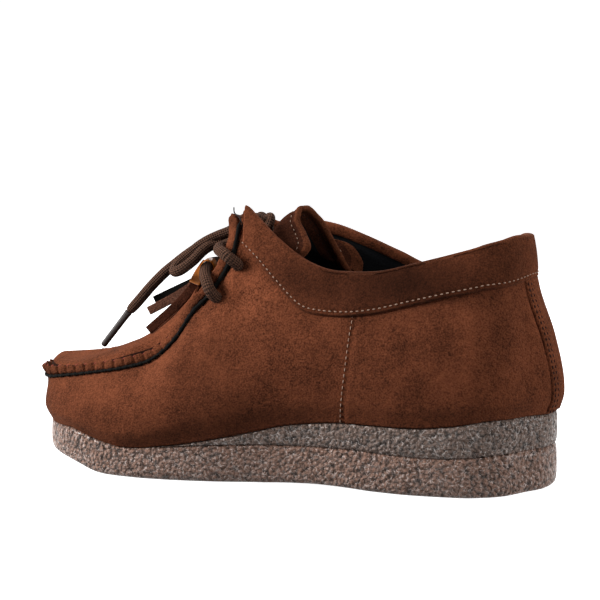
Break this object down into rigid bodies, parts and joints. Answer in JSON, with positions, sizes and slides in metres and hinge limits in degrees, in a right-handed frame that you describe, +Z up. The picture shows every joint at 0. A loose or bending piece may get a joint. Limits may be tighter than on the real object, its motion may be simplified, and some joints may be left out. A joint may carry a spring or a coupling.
{
  "type": "lace-up shoe",
  "caption": "Low moccasin-toe textile shoe with a raised apron, short lacing, folded tongue, collar band and a two-layer crepe sole.",
  "frame": {"origin": "centre of the bounding box on the floor", "axes": "+X towards the toe, +Y towards the inner (medial) side of the foot, +Z up"},
  "size_m": [0.2615, 0.0983, 0.1272],
  "materials": {
    "suede": "napped suede-look textile",
    "lining": "black woven lining",
    "crepe": "pebbled translucent rubber",
    "lace": "braided round lace",
    "aglet": "plain plastic",
    "tab": "plain orange leather-look strip"
  },
  "bodies": {
    "root": {"aglet_far": "aglet", "aglet_near": "aglet", "apron": "suede", "collar_band": "suede", "fob_strip_1": "suede", "fob_strip_2": "suede", "fob_strip_3": "suede", "fob_tab": "tab", "heel_stay": "suede", "insole": "lining", "lace_bar": "lace", "lace_end_far": "lace", "lace_end_near": "lace", "lace_knot": "lace", "lace_loop_far": "lace", "lace_loop_near": "lace", "lace_strand_far": "lace", "lace_strand_near": "lace", "lining_edge": "lining", "outsole": "crepe", "seam_lip": "suede", "tongue": "suede", "upper": "suede", "wedge": "crepe"}
  },
  "joints": []
}
